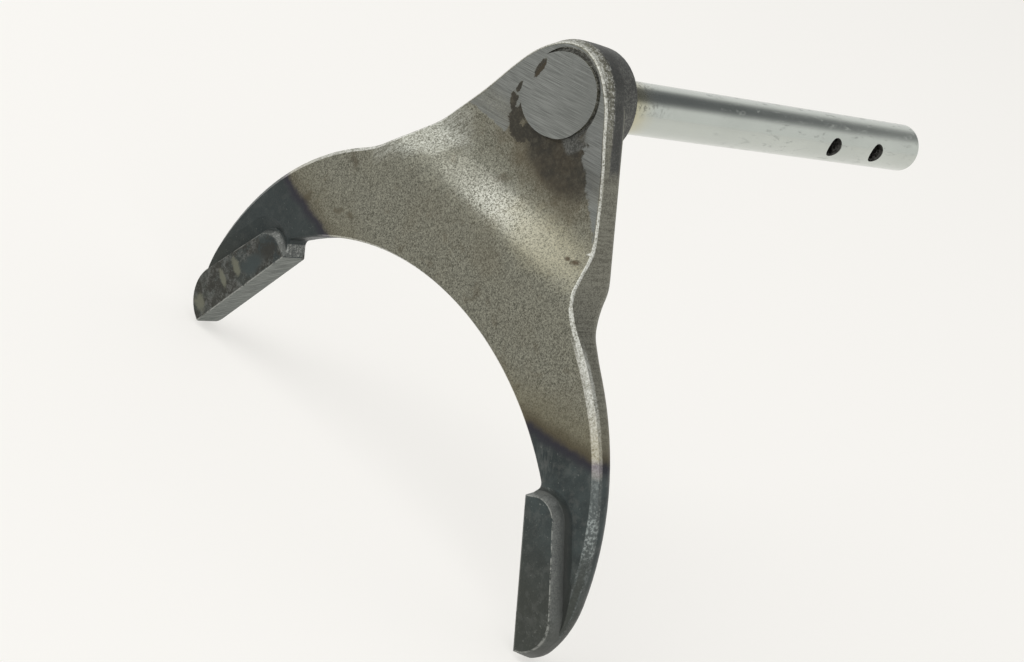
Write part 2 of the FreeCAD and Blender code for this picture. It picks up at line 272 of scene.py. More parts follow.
def put(tree, socket, value):
    """Links a field to a socket, or sets the socket's own value."""
    if isinstance(value, Field):
        tree.links.new(value.socket, socket)
    else:
        socket.default_value = value


def ramp(value, low, high):
    """A smooth step from 0 to 1 while a field goes from one value to another."""
    node = value.tree.nodes.new("ShaderNodeMapRange")
    node.interpolation_type = "SMOOTHSTEP"
    put(value.tree, node.inputs["Value"], value)
    put(value.tree, node.inputs["From Min"], low)
    put(value.tree, node.inputs["From Max"], high)
    return Field(value.tree, node.outputs["Result"])


def blend(factor, first, second):
    """Mixes two colours by a factor."""
    tree = factor.tree
    node = tree.nodes.new("ShaderNodeMix")
    node.data_type = "RGBA"
    put(tree, node.inputs[0], factor)
    for index, value in zip(MIX_COLOURS, (first, second)):
        if isinstance(value, Field):
            tree.links.new(value.socket, node.inputs[index])
        else:
            node.inputs[index].default_value = value + (1.0,)
    return Field(tree, node.outputs[MIX_RESULT])


def parts_of(tree, socket):
    """The three parts of a vector."""
    node = tree.nodes.new("ShaderNodeSeparateXYZ")
    tree.links.new(socket, node.inputs[0])
    return [Field(tree, output) for output in node.outputs]


def ray_kinds(tree):
    """One for a ray from the camera, for a reflection and for a ray through something clear."""
    path = tree.nodes.new("ShaderNodeLightPath")
    kinds = ("Is Camera Ray", "Is Glossy Ray", "Is Transmission Ray")
    return [Field(tree, path.outputs[kind]) for kind in kinds]


def place(tree):
    """The place on the object in millimetres, as a vector and as its three parts."""
    coordinates = tree.nodes.new("ShaderNodeTexCoord")
    scaled = tree.nodes.new("ShaderNodeVectorMath")
    scaled.operation = "SCALE"
    tree.links.new(coordinates.outputs["Object"], scaled.inputs[0])
    scaled.inputs["Scale"].default_value = 1.0 / MILLIMETRE
    moved = tree.nodes.new("ShaderNodeVectorMath")
    moved.operation = "ADD"
    tree.links.new(scaled.outputs[0], moved.inputs[0])
    moved.inputs[1].default_value = (0.0, BOSS_LENGTH, 0.0)
    return [Field(tree, moved.outputs[0])] + parts_of(tree, moved.outputs[0])


def vector_of(tree, x, y, z):
    """A vector from three numbers or fields."""
    node = tree.nodes.new("ShaderNodeCombineXYZ")
    for socket, value in zip(node.inputs, (x, y, z)):
        put(tree, socket, value)
    return Field(tree, node.outputs[0])


def noise(vector, size, detail, rough, seed):
    """Cloudy noise from 0 to 1 whose lumps are about the given size in millimetres."""
    tree = vector.tree
    node = tree.nodes.new("ShaderNodeTexNoise")
    node.noise_dimensions = "4D"
    tree.links.new(vector.socket, node.inputs["Vector"])
    node.inputs["W"].default_value = seed
    node.inputs["Scale"].default_value = 1.0 / size
    node.inputs["Detail"].default_value = detail
    node.inputs["Roughness"].default_value = rough
    return Field(tree, node.outputs["Fac"])


def bump(height, strength, distance, first=None):
    """A normal from a height field, laid over a first one where it is given. The distance is in metres."""
    tree = height.tree
    node = tree.nodes.new("ShaderNodeBump")
    node.inputs["Strength"].default_value = strength
    node.inputs["Distance"].default_value = distance
    tree.links.new(height.socket, node.inputs["Height"])
    if first is not None:
        tree.links.new(first.socket, node.inputs["Normal"])
    return Field(tree, node.outputs["Normal"])


def new_material(name):
    """A new material, its node tree and its surface shader."""
    material = bpy.data.materials.new(name)
    material.use_nodes = True
    tree = material.node_tree
    shader = tree.nodes["Principled BSDF"]
    return material, tree, shader


def smooth_by_angle(mesh):
    """Smooth shading with edges kept sharp over an angle."""
    for polygon in mesh.polygons:
        polygon.use_smooth = True
    mesh.set_sharp_from_angle(angle=math.radians(SMOOTH_ANGLE))


def turned(x, z, degrees):
    """The two flat coordinates along and across a direction in the outline plane."""
    cosine = math.cos(math.radians(degrees))
    sine = math.sin(math.radians(degrees))
    return x * cosine + z * sine, z * cosine - x * sine


def streaks(x, y, z, degrees, long, fine, seed):
    """Long fine grinding marks that run at an angle in the outline plane."""
    along, across = turned(x, z, degrees)
    stretched = vector_of(x.tree, along / long, y / fine, across / fine)
    return noise(stretched, 1.0, 4.0, 0.65, seed)


def below(value, edge, soft):
    """One under an edge and none over it, with a soft step."""
    return ramp(value, edge + soft, edge - soft)


def above(value, edge, soft):
    """One over an edge and none under it, with a soft step."""
    return ramp(value, edge - soft, edge + soft)


def spot(x, z, centre, radii, degrees):
    """Distance from the centre of an ellipse in the outline plane: one on its rim."""
    along, across = turned(x - centre[0], z - centre[1], degrees)
    far = along * along / (radii[0] * radii[0]) + across * across / (radii[1] * radii[1])
    return far.sqrt()


def normal_of(tree):
    """The three parts of the surface's direction on the object."""
    coordinates = tree.nodes.new("ShaderNodeTexCoord")
    return parts_of(tree, coordinates.outputs["Normal"])


def broad_cloud(p):
    """Broad clouds that the forging and the rod's head share."""
    return noise(p, 14.0, 4.0, 0.55, 3.0)


def edge_noise(p):
    """Small wander of the edges of marks, about zero, that the forging and the rod's head share."""
    return noise(p, 1.5, 4.0, 0.7, 5.0) - 0.5


def grinding(x, y, z):
    """Grinding marks that run on from the forging over the rod's head."""
    return streaks(x, y, z, GRIND_ANGLE, 9.0, 0.16, 8.0)


def blotches(x, z, drift, spots, soft):
    """One inside any of a list of ragged ellipses."""
    found = None
    for centre, radii, angle in spots:
        one = below(spot(x, z, centre, radii, angle) + drift * WANDER, 1.0, soft)
        found = one if found is None else found.max(one)
    return found


class Skin:
    """What the parts of the forging's finish share: place, direction and the noises of its surface."""

    def __init__(self, tree):
        self.tree = tree
        self.p, self.x, self.y, self.z = place(tree)
        self.nx, self.ny, self.nz = normal_of(tree)
        self.side = self.x.abs()
        self.facing = self.ny * -1.0
        self.front = ramp(self.facing, 0.0, 0.3)
        self.left = below(self.x, 0.0, 1.0)
        self.right = above(self.x, 0.0, 1.0)
        self.speck = noise(self.p, 0.42, 3.0, 0.60, 1.0)
        self.fine = noise(self.p, 0.22, 2.0, 0.5, 2.0)
        self.cloud = broad_cloud(self.p)
        self.drift = noise(self.p, 5.0, 4.0, 0.6, 4.0) - 0.5
        self.rough_edge = edge_noise(self.p)
        self.ragged = self.rough_edge * 3.2 + self.drift * 3.0
        self.sand = ramp(self.speck * 0.6 + self.fine * 0.4, 0.35, 0.67)
        self.scratch = grinding(self.x, self.y, self.z)
        self.disc_far = spot(self.x, self.z, DISC_CENTRE, DISC_RADII, DISC_ANGLE)
        self.inset = self.outline_inset()

        # Depth behind the arms' front face and behind the foot of their bevel
        self.level = self.y + self.z * ARM_TAPER + FACE_DEPTH
        self.foot = self.y + self.z * BEVEL_TAPER + BEVEL_DEPTH

    def outline_inset(self):
        """Distance inwards from the arms' outer outline, which is three arcs that touch each other."""
        big = ARC_RADII[0] - self.distance_from(ARC_CENTRES[0])
        middle = ARC_RADII[1] - self.distance_from(ARC_CENTRES[1])
        small = ARC_RADII[2] - self.distance_from(ARC_CENTRES[2])
        over = turned(self.side - ARC_CENTRES[1][0], self.z - ARC_CENTRES[1][1], ARC_TURNS[0])[1]
        under = turned(self.side - ARC_CENTRES[2][0], self.z - ARC_CENTRES[2][1], ARC_TURNS[1])[1]
        upper = ramp(over, -0.02, 0.02)
        lower = ramp(under, 0.02, -0.02)
        return big * upper + (1.0 - upper) * (small * lower + middle * (1.0 - lower))

    def distance_from(self, centre):
        """Distance in the outline plane from a point and from its twin on the left."""
        across = self.side - centre[0]
        up = self.z - centre[1]
        return (across * across + up * up).sqrt()


def ground_colour(scratch, cloud):
    """Bright ground steel with its scratches."""
    bare = blend(ramp(scratch, 0.34, 0.66), GROUND_DARK, GROUND_LIGHT)
    return blend(ramp(cloud, 0.35, 0.75) * 0.30, bare, GROUND_DARK)


def blasted_skin(skin):
    """Warm grey sandy skin with faint brown clouds and a few rust spots."""
    colour = blend(skin.sand, SKIN_DARK, SKIN_LIGHT)
    colour = blend(ramp(skin.cloud, 0.45, 0.75) * 0.25, colour, SKIN_BROWN)
    brown = noise(skin.p, 4.0, 5.0, 0.65, 14.0)
    colour = blend(above(brown, 0.62, 0.07) * 0.30, colour, UNDER_BROWN)
    rust = blotches(skin.x, skin.z, skin.rough_edge * 2.4 + skin.drift, RUST_SPOTS, 0.6)
    return blend(rust * above(skin.speck, 0.40, 0.12) * skin.front * 0.62, colour, RUST)


def step_sheen_and_pits(skin, colour):
    """The slope of the step between hub and arms takes a painted sheen in its middle and painted shade on its
    flanks, and a warm tint that also carries the painted sheen at its right end. It has two pits and a nick.
    """
    slope = ramp(skin.nz, 0.20, 0.62) * ramp(skin.facing, 0.5, 0.7)
    off_middle = (skin.z - STEP_HEIGHT + skin.drift * 5.0).abs()
    # Painted shade darkens the slope away from its middle, which narrows the sheen
    colour = blend(slope * above(off_middle, 3.8, 2.6) * 0.50, colour, SKIN_DARK)
    # Painted sheen in the middle of the slope, broken up by the sand
    middle = below(spot(skin.x, skin.z, *STEP_MIDDLE) + skin.drift * 1.2, 0.65, 0.60)
    bare = ramp(skin.sand + skin.drift * 0.8, 0.10, 0.85)
    step = slope * middle * bare
    colour = blend(step * 0.90, colour, STEP_SHEEN)
    # Warm tint at the right end, which also carries the painted sheen there
    warm = below(spot(skin.x, skin.z, *STEP_WARM_SHEEN_SPOT) + skin.drift, 0.85, 0.55)
    colour = blend(warm * skin.front * (0.12 + skin.sand * 0.55), colour, STEP_WARM_SHEEN)
    pit = blotches(skin.x, skin.z, skin.rough_edge * 2.0, STEP_PITS, 0.55) * skin.front
    nick = blotches(skin.x, skin.z, skin.rough_edge, [STEP_NICK], 0.3) * skin.front
    colour = blend(nick * 0.7, colour, WEAR_AND_HIGHLIGHT)
    return blend(pit * 0.80, colour, PIT_BROWN), step, pit


def rubbed_neck(skin, colour):
    """Bright rubbed patch along the left edge of the neck."""
    along, across = turned(skin.x + 42.0, skin.z + 38.0, 39.5)
    patch = below(across.abs() + skin.drift * 6.0, 5.6, 1.8)
    patch = patch * above(along, -1.5, 2.5) * below(along, 26.0, 4.0)
    patch = patch * below(skin.x, -12.0, 3.0) * ramp(skin.facing, 0.3, 0.6)
    marks = streaks(skin.x, skin.y, skin.z, 62.0, 5.0, 0.30, 6.0)
    bright = blend(ramp(marks, 0.35, 0.65), RUB_DARK, RUB_LIGHT)
    patch = patch * ramp(marks + skin.sand * 0.35, 0.42, 0.85)
    return blend(patch * 0.75, colour, bright), patch


def flush_places(skin):
    """Where the hub face is ground flush with the rod's head: on the left, over the crown, and in a wedge on
    the right, which is broken into specks below the disc."""
    left = below(skin.x + skin.ragged * 0.8, -11.0, 0.3) * above(skin.z + skin.ragged * 0.8, -16.6, 0.4)
    crown = above(skin.z + skin.ragged * 0.5, 3.0, 0.4)
    right = above(skin.x + skin.ragged * 0.7, 12.2, 0.4)
    right = right * above(skin.z + skin.x * 0.95 + skin.ragged * 1.3, 4.6, 0.6)
    specks = above(noise(skin.p, 0.9, 4.0, 0.7, 33.0), 0.52, 0.08)
    broken = below(skin.disc_far, 1.50, 0.12) * below(skin.z, -3.5, 1.5) * above(skin.x, 7.0, 1.0)
    broken = broken * below(skin.x, 12.8, 0.8)
    right = (right * (1.0 - broken)).max(broken * specks * 0.75)
    return left.max(crown).max(right)


def hub_face(skin, colour):
    """The scorched and the ground places of the hub face round the weld, and the painted shade of the weld's
    low crescent.
    """
    front = ramp(skin.facing, 0.6, 0.85) * below(skin.y, 1.6, 0.3)
    brown = below(spot(skin.x, skin.z, *HUB_BROWN) + skin.drift * 1.2, 0.80, 0.45)
    colour = blend(brown * front * 0.65, colour, UNDER_BROWN)
    scorch = below(spot(skin.x, skin.z, *HUB_SCORCH) + skin.ragged * 0.06, 0.86, 0.18)
    scorch = scorch * front
    dark = blend(ramp(skin.cloud + skin.drift, 0.35, 0.7), SCORCH_BLACK, SCORCH_BROWN)
    crust = noise(skin.p, 1.3, 6.0, 0.8, 34.0)
    dark = blend(skin.sand * 0.25 + above(crust, 0.56, 0.08) * 0.55, dark, SCORCH_GREY)
    dark = blend(below(crust, 0.44, 0.06) * 0.70, dark, SCORCH_BLACK)
    colour = blend(scorch * 0.94, colour, dark)

    # Dark blotches and a pit on the seam of the disc, and the ground places
    blotch = blotches(skin.x, skin.z, skin.rough_edge * 1.5 + skin.drift * 0.5, BLOTCHES, 0.14)
    blotch = blotch * above(skin.disc_far, 1.0, 0.012) * front
    seam = blotches(skin.x, skin.z, skin.rough_edge, [SEAM_PIT], 0.12) * front
    blotch = blotch.max(seam)
    disc = below(skin.disc_far, 1.0, 0.012) * (1.0 - seam)
    flat = ramp(skin.facing, 0.97, 0.995) * below(skin.y, 0.8, 0.3)
    ground = disc.max(flush_places(skin) * (1.0 - blotch)) * flat
    colour = blend(blotch * 0.95, colour, dark)
    colour = blend(ground, colour, ground_colour(skin.scratch, skin.cloud))

    # The crescent where the weld was left low: a crater painted dark as the shade in its recess, mottled
    # lighter
    crescent = above(skin.y, 0.30, 0.15) * below(skin.disc_far, 1.40, 0.05) * above(skin.disc_far, 0.97, 0.02)
    crescent = crescent * above(skin.z + skin.x * 0.6, -5.0, 1.0) * below(skin.y, 3.0, 0.1)
    low = blend(ramp(skin.speck + skin.drift * 0.5, 0.4, 0.65), CRATER_SHADE, CRATER_LIGHT)
    colour = blend(crescent * front, colour, low)
    return colour, ground, scorch.max(blotch)


def sides(skin, colour):
    """Dull sides, darker on the hub's sides round the boss and darkest in a band just behind the front, with
    bright specks on the flash line.
    """
    edge_on = below(skin.facing.abs(), 0.32, 0.12)
    sheared = noise(vector_of(skin.tree, skin.x / 0.7, skin.y / 12.0, skin.z / 0.7), 1.0, 3.0, 0.65, 19.0)
    dull = blend(ramp(skin.sand * 0.35 + sheared * 0.65, 0.30, 0.62), SIDE_DARK, SIDE_LIGHT)
    colour = blend(edge_on * 0.85, colour, dull)
    # The hub's sides are darker behind its front, and darkest in a band close behind it
    hub_side = edge_on * above(skin.z + skin.drift * 5.0, -8.5, 2.0)
    boss_side_colour = blend(ramp(skin.sand + skin.drift, 0.3, 0.9), BOSS_SIDE_DARK, BOSS_SIDE_LIGHT)
    colour = blend(hub_side * above(skin.y + skin.drift, 3.2, 0.5), colour, boss_side_colour)
    darkest = hub_side * above(skin.y + skin.drift, 3.4, 0.4) * below(skin.y + skin.drift * 2.0, 7.5, 0.8)
    colour = blend(darkest * 0.60, colour, BOSS_SIDE_DARK)
    flash = above(skin.z, 0.0, 6.0) * below(skin.y, 3.5, 0.4) * below(skin.facing, 0.6, 0.2)
    specks = above(noise(skin.p, 0.55, 2.0, 0.6, 9.0), 0.56, 0.06)
    return blend(flash * specks * 0.65, colour, WEAR_AND_HIGHLIGHT), edge_on * sheared


def heat_tint(skin, colour):
    """Heat colours of the hardened arm ends: straw, brown, purple, then blue-black, with painted shade that
    darkens the blue on the left arm.
    """
    line = skin.z - HEAT_HEIGHT - (skin.side - 57.0) * 0.2 + skin.drift * 4.0 + skin.rough_edge * 1.2
    right = above(skin.x, 0.0, 20.0)
    straw = below(line, 9.0, 6.0) * (0.25 + right * 0.30)
    brown = below(line, 3.2, 2.4) * (0.45 + right * 0.35)
    purple = below(line, 0.6, 1.2)
    blue = below(line, -1.8, 1.7)
    mottle = blend(ramp(skin.cloud + skin.drift * 0.9, 0.3, 0.75), BLUE_DARK, BLUE_LIGHT)
    # Painted shade: the blue is darker on the left arm
    mottle = blend((1.0 - right) * 0.75, mottle, BLUE_DARK)
    mottle = blend(below(skin.z, -94.0, 14.0) * 0.80, mottle, BLACK_BROWN)
    scale = above(noise(skin.p, 2.4, 4.0, 0.7, 15.0), 0.56, 0.08)
    mottle = blend(scale * (0.12 + right * 0.16), mottle, WALL_DARK)
    flecks = above(noise(skin.p, 0.8, 3.0, 0.7, 10.0), 0.67, 0.03)
    mottle = blend(flecks * 0.45, mottle, FLECK)
    mottle = blend(skin.sand * 0.06, mottle, SIDE_LIGHT)
    rubs = above(streaks(skin.x, skin.y, skin.z, -58.0, 3.2, 0.55, 27.0), 0.52, 0.07)
    rubbed = below(spot(skin.x, skin.z, *NOTCH_RUB) + skin.drift, 0.8, 0.4)
    mottle = blend(rubs * rubbed * skin.front * 0.15, mottle, WALL_LIGHT)
    colour = blend(straw * (0.45 + skin.sand * 0.55), colour, STRAW)
    colour = blend(brown, colour, TINT_BROWN)
    colour = blend(purple, colour, TINT_PURPLE)
    return blend(blue, colour, mottle), straw, purple, blue


class PadShape:
    """Places on both pads: along and out from the ground edge, and how far outside the raised face."""

    def __init__(self, skin):
        self.along = (skin.side - PAD_TOP[0]) * PAD_LINE[0] + (skin.z - PAD_TOP[1]) * PAD_LINE[1]
        self.out = (skin.side - PAD_TOP[0]) * PAD_OUT[0] + (skin.z - PAD_TOP[1]) * PAD_OUT[1]
        half = PAD_LENGTH / 2.0
        share = ramp(self.along, half - PAD_CHANGE, half + PAD_CHANGE)
        radius = PAD_RADII[0] + share * (PAD_RADII[1] - PAD_RADII[0])
        width = PAD_WIDTHS[0] + self.along * ((PAD_WIDTHS[1] - PAD_WIDTHS[0]) / PAD_LENGTH)
        over_length = (self.along - half).abs() - half + radius
        over_width = self.out - width + radius
        past_length = over_length.max(0.0)
        past_width = over_width.max(0.0)
        corner = (past_length * past_length + past_width * past_width).sqrt()
        self.far = corner + over_length.max(over_width).min(0.0) - radius
        self.low = below(skin.z, PAD_HEIGHT, 1.5) * ramp(skin.facing, 0.1, 0.5) * below(skin.y, -2.0, 0.5)
        self.face = below(self.far, 0.0, 0.1) * self.low


def pad_walls(skin, pad, colour):
    """Light walls round the raised faces, and painted light that lightens the shade of the valley beside the
    right one.
    """
    # Painted light: the valley beside the right face is lightened towards grey against its shade
    valley = above(pad.far, 0.6, 0.6) * below(pad.far + skin.drift * 2.0, 3.4, 1.6) * pad.low * skin.right
    colour = blend(valley * 0.75, colour, WALL_DARK)
    wall = above(pad.far, 0.05, 0.1) * below(pad.far + skin.drift, 0.85, 0.75) * pad.low
    wall_colour = blend(skin.sand, WALL_DARK, WALL_LIGHT)
    fading = 0.30 + above(skin.z, -101.0, 7.0) * 0.60 + skin.drift * 0.4
    return blend(wall * fading, colour, wall_colour)


def pad_scale(skin, pad, colour):
    """Dark, blue, grey and pale scale on the left face, and a few light dots on the right one."""
    left_face = skin.left * pad.face
    dark_scale = above(noise(skin.p, 3.4, 5.0, 0.72, 16.0), 0.50, 0.05) * left_face
    colour = blend(dark_scale * 0.75, colour, SCORCH_BLACK)
    blued = below(spot(skin.x, skin.z, *PAD_BLUE) + skin.drift, 0.8, 0.3) * left_face
    colour = blend(blued * 0.75, colour, BLUE_LIGHT)
    blackened = below(spot(skin.x, skin.z, *PAD_BLACK), 1.0, 0.4)
    grey_scale = above(noise(skin.p, 2.0, 7.0, 0.85, 17.0), 0.53, 0.07) * left_face
    grey_scale = grey_scale * (1.0 - blued) * (1.0 - blackened)
    colour = blend(grey_scale * 0.34, colour, WALL_LIGHT)
    dots = above(noise(skin.p, 0.75, 3.0, 0.75, 28.0), 0.66, 0.03) * skin.right * pad.face
    colour = blend(dots * 0.55, colour, FLECK)
    pale = blotches(skin.x, skin.z, skin.rough_edge * 1.4 + skin.drift, PALE_SPOTS, 0.35)
    return blend(pale * left_face * 0.85, colour, PALE_SCALE)


def pad_rims(skin, pad, colour):
    """A broken worn line on the rim of each face and along its ground edge."""
    rim = below((pad.far + 0.10).abs(), 0.15, 0.10) * pad.low
    breaks = above(noise(skin.p, 2.6, 4.0, 0.75, 29.0), 0.46, 0.08) * (0.35 + skin.right * 0.50)
    worn_rim = rim * ramp(skin.speck + skin.drift * 0.8, 0.30, 0.52) * breaks
    ground_edge = below(pad.out, 0.30, 0.18) * pad.low * above(skin.speck + skin.drift, 0.40, 0.12)
    return blend(worn_rim.max(ground_edge * (0.4 + skin.left * 0.5)) * 0.75, colour, RIM_WEAR_AND_GLINT)


def notch_sides(skin, pad, colour):
    """The short side of each pad towards the notch carries painted light where it faces up, with painted
    glints on the left one.
    """
    upward = ramp(skin.nz, 0.15, 0.35) * below(pad.along, 1.5, 0.5)
    upward = upward * below(skin.side, 64.0, 1.0) * below(skin.z, -77.0, 0.5)
    # Painted light on the upward-facing short sides
    colour = blend(upward * (0.20 + skin.sand * 0.4), colour, WALL_LIGHT)
    specks = above(skin.rough_edge + skin.speck, 0.60, 0.08)
    # Painted glints on the left short side, which the arm above shades
    return blend(upward * skin.left * (0.05 + specks * 0.5), colour, RIM_WEAR_AND_GLINT)


def pad_ground(skin, pad, colour):
    """Straight ground faces of the pads with fine marks across them and small nicks."""
    turned_in = skin.nx * skin.x / skin.side.max(0.001) * -PAD_OUT[0] - skin.nz * PAD_OUT[1]
    ground = ramp(turned_in, 0.975, 0.995) * below(skin.z, -80.0, 0.5)
    across = vector_of(skin.tree, (pad.along + skin.y * 0.45) / 0.62, skin.y / 6.0, pad.out / 6.0)
    marks = noise(across, 1.0, 3.0, 0.6, 11.0)
    ground_faces = blend(ramp(marks, 0.3, 0.7), PAD_GROUND_DARK, PAD_GROUND_LIGHT)
    nicks = above(noise(skin.p, 0.9, 3.0, 0.7, 18.0), 0.68, 0.03)
    ground_faces = blend(nicks * 0.6, ground_faces, WEAR_AND_HIGHLIGHT)
    return blend(ground, colour, ground_faces), ground, marks


def burrs(skin, colour):
    """Small dark torn places on two back corners."""
    for centre, size in BURRS:
        x = skin.x - centre[0]
        y = skin.y - centre[1]
        z = skin.z - centre[2]
        away = (x * x + z * z + y * y).sqrt() + skin.rough_edge * 1.2
        colour = blend(below(away, size, 0.25) * 0.95, colour, HOLE_DARK)
    return colour


def pads(skin, colour):
    """The two pads with their walls, faces, rims and ground sides."""
    pad = PadShape(skin)
    colour = pad_walls(skin, pad, colour)
    colour = pad_scale(skin, pad, colour)
    colour = pad_rims(skin, pad, colour)
    colour = notch_sides(skin, pad, colour)
    colour, ground, marks = pad_ground(skin, pad, colour)
    return burrs(skin, colour), ground, marks


def worn_and_highlit_places(skin, blue):
    """Rounded front edges of the forging, and the right arm's bevel with a band on both sides of it."""
    # The edges' wear and painted highlight reach further round the rounding on the hub
    lowest = 0.38 - above(skin.z, -50.0, 4.0) * 0.28
    rounding = ramp(skin.facing, lowest, lowest + 0.15) * ramp(skin.facing, 0.955, 0.90)
    rounding = rounding * ramp(skin.nx.abs() + skin.nz.abs() * 0.35, 0.22, 0.34)
    rounding = rounding * below(skin.y, 1.2, 0.3)
    over_pads = above(skin.z, PAD_HEIGHT + 0.5, 1.0)
    rounding = rounding * below(skin.inset, 3.6, 0.3).max(over_pads)
    rounding = rounding * (1.0 - skin.left * blue * 0.75)
    inner = skin.inset - (skin.level - skin.foot) * BEVEL_SHARE
    band = below(inner - ramp(skin.z, -68.0, -46.0) * 0.8, 0.05, 0.20) * above(skin.level, -0.3, 0.2)
    band = band * below(skin.foot + skin.rough_edge * 0.8, 1.2, 0.35)
    band = band * above(skin.x, 26.0, 5.0) * below(skin.z, -45.0, 3.0) * above(skin.z, -92.0, 7.0)
    return rounding.max(band)


def worn_and_highlit_edges(skin, colour, straw, purple, blue):
    """The rounded front edges and the drafted bevel of the arms are worn bright and carry a painted
    highlight. They take the heat colours, glint where they are blue, and fade to two broken lines at the tip."""
    # Wear with a painted highlight on the edges, tinted by the heat colours, with painted glints in the blue
    worn = blend(ramp(skin.speck, 0.3, 0.7), SIDE_LIGHT, WEAR_AND_HIGHLIGHT)
    glint = above(noise(skin.p, 0.65, 3.0, 0.7, 31.0) + skin.drift * 0.3, 0.55, 0.06) * skin.right
    glinting = 0.30 + below((skin.z - GLINT_HEIGHT).abs(), 5.5, 4.0) * 0.60
    worn = blend(blue * 0.94, worn, blend(glint * glinting, WORN_BLUE, GLINT_BLUE))
    worn = blend(straw * (1.0 - blue) * 0.8, worn, STRAW_WEAR_AND_HIGHLIGHT)
    worn = blend(purple * (1.0 - blue) * 0.7, worn, PURPLE_WEAR_AND_HIGHLIGHT)
    tip = below(skin.z, TIP_HEIGHT, 9.0)
    lines = below(skin.level, 0.35, 0.20).max(above(skin.foot, -0.25, 0.20))
    lines = lines * above(skin.speck + skin.drift, 0.46, 0.08)
    worn = blend(tip * (1.0 - lines) * 0.80, worn, BLACK_BROWN)
    scuffed = ramp(skin.speck + skin.drift * 0.5, 0.20, 0.44)
    return blend(worn_and_highlit_places(skin, blue) * scuffed * 0.92, colour, worn)


def forged_steel():
    """Blasted forging skin with its ground, scorched, rubbed, worn and heat-tinted places, and painted light
    and shade.
    """
    material, tree, shader = new_material("forged_steel")
    skin = Skin(tree)
    colour = blasted_skin(skin)
    colour, step, pit = step_sheen_and_pits(skin, colour)
    colour, rubbed = rubbed_neck(skin, colour)
    colour, sheared = sides(skin, colour)
    colour, ground, scorch = hub_face(skin, colour)
    colour, straw, purple, blue = heat_tint(skin, colour)
    colour, pads_ground, marks = pads(skin, colour)
    colour = worn_and_highlit_edges(skin, colour, straw, purple, blue)
    tree.links.new(colour.socket, shader.inputs["Base Color"])

    # Roughness and relief follow the same places
    metal = FORGING_METAL - scorch * 0.35 - blue * 0.25
    put(tree, shader.inputs["Metallic"], metal.max(0.2))
    rough = FORGING_ROUGH - step * 0.05 - rubbed * 0.1 - ground * 0.12 + scorch * 0.15
    rough = rough + (skin.sand - 0.5) * 0.12
    put(tree, shader.inputs["Roughness"], (rough - blue * 0.08).max(0.22))
    blasted = (1.0 - ground) * (1.0 - pads_ground) * (1.0 - blue * 0.55)
    height = (skin.speck * 0.65 + skin.fine * 0.35) * blasted + skin.scratch * ground * 0.16
    height = height + marks * pads_ground * 0.3 - pit * 0.8 - scorch * skin.rough_edge * 0.6 + sheared * 0.5
    relief = bump(height, *SKIN_RELIEF)
    waves = bump(noise(skin.p, 6.0, 3.0, 0.5, 12.0), *WAVE_RELIEF, relief)
    tree.links.new(waves.socket, shader.inputs["Normal"])
    return material


def rod_steel():
    """Ground bright rod with a straw tint at the weld, fine marks and dark holes; its head is the disc."""
    material, tree, shader = new_material("rod_steel")
    p, x, y, z = place(tree)
    radius = (x * x + z * z).sqrt()
    drift = noise(p, 6.0, 4.0, 0.6, 21.0) - 0.5
    cloud = broad_cloud(p)
    length_marks = noise(vector_of(tree, x / 0.35, y / 14.0, z / 0.35), 1.0, 3.0, 0.6, 22.0)
    round_marks = noise(vector_of(tree, x / 9.0, y / 0.22, z / 9.0), 1.0, 2.0, 0.6, 23.0)
    bright = blend(ramp(cloud, 0.3, 0.8) * 0.25, ROD_LIGHT, ROD_DARK)
    bright = blend(ramp(length_marks, 0.55, 0.80) * 0.15, bright, ROD_DARK)

    # Heat tint and dark specks beside the boss
    near = y + drift * 7.0
    bright = blend(below(near, 25.0, 8.0) * 0.80, bright, ROD_STRAW)
    bright = blend(below(near, 16.2, 1.6) * 0.80, bright, ROD_BURNT)
    soot = above(noise(p, 1.2, 4.0, 0.7, 24.0), 0.54, 0.06)
    soot = soot * below(y, 30.0, 10.0) * above(z + x * 0.3, 3.6, 1.5)
    bright = blend(soot * 0.70, bright, ROD_SOOT)

    # Small scratches and dents, and the dark holes with torn metal near their mouths
    dents = noise(vector_of(tree, x / 1.6, y / 5.0, z / 1.6), 1.0, 6.0, 0.75, 25.0)
    knocked = above(dents, 0.60, 0.025) * above(y + drift * 60.0, 62.0, 10.0) * below(y, ROD_END, 0.5)
    bright = blend(knocked * 0.42, bright, ROD_DARK)
    hole = below(radius, 6.86, 0.06) * above(y, 20.0, 1.0) * below(y, ROD_END, 0.5)
    torn = noise(p, 0.8, 4.0, 0.7, 26.0) + ramp(radius, 4.6, 6.8) * 0.16
    bright = blend(hole, bright, blend(ramp(torn, 0.50, 0.66), HOLE_DARK, HOLE_LIGHT))

    # The head is ground with the hub face
    scratch = grinding(x, y, z)
    head = below(y, HEAD_DEPTH, 0.5)
    colour = blend(head, bright, ground_colour(scratch, cloud))
    seam = blotches(x, z, edge_noise(p), [SEAM_PIT], 0.12) * head
    colour = blend(seam * 0.95, colour, SCORCH_BROWN)
    tree.links.new(colour.socket, shader.inputs["Base Color"])
    put(tree, shader.inputs["Metallic"], ROD_METAL - head * 0.17)
    rough = ROD_ROUGH + (length_marks - 0.5) * 0.08 + head * 0.20 + hole * 0.3 + knocked * 0.10 + soot * 0.2
    put(tree, shader.inputs["Roughness"], rough)
    height = length_marks * 0.10 + round_marks * 0.06 - knocked * 0.6 + scratch * head * 0.12
    tree.links.new(bump(height, *ROD_RELIEF).socket, shader.inputs["Normal"])
    return material


def dress(node, material):
    """Gives a carried-over node its finish and smooth shading."""
    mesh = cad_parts[node].data
    mesh.materials.clear()
    mesh.materials.append(material)
    smooth_by_angle(mesh)


forging = forged_steel()
dress("shift_fork", forging)
dress("weld_ring", forging)
dress("shift_rod", rod_steel())


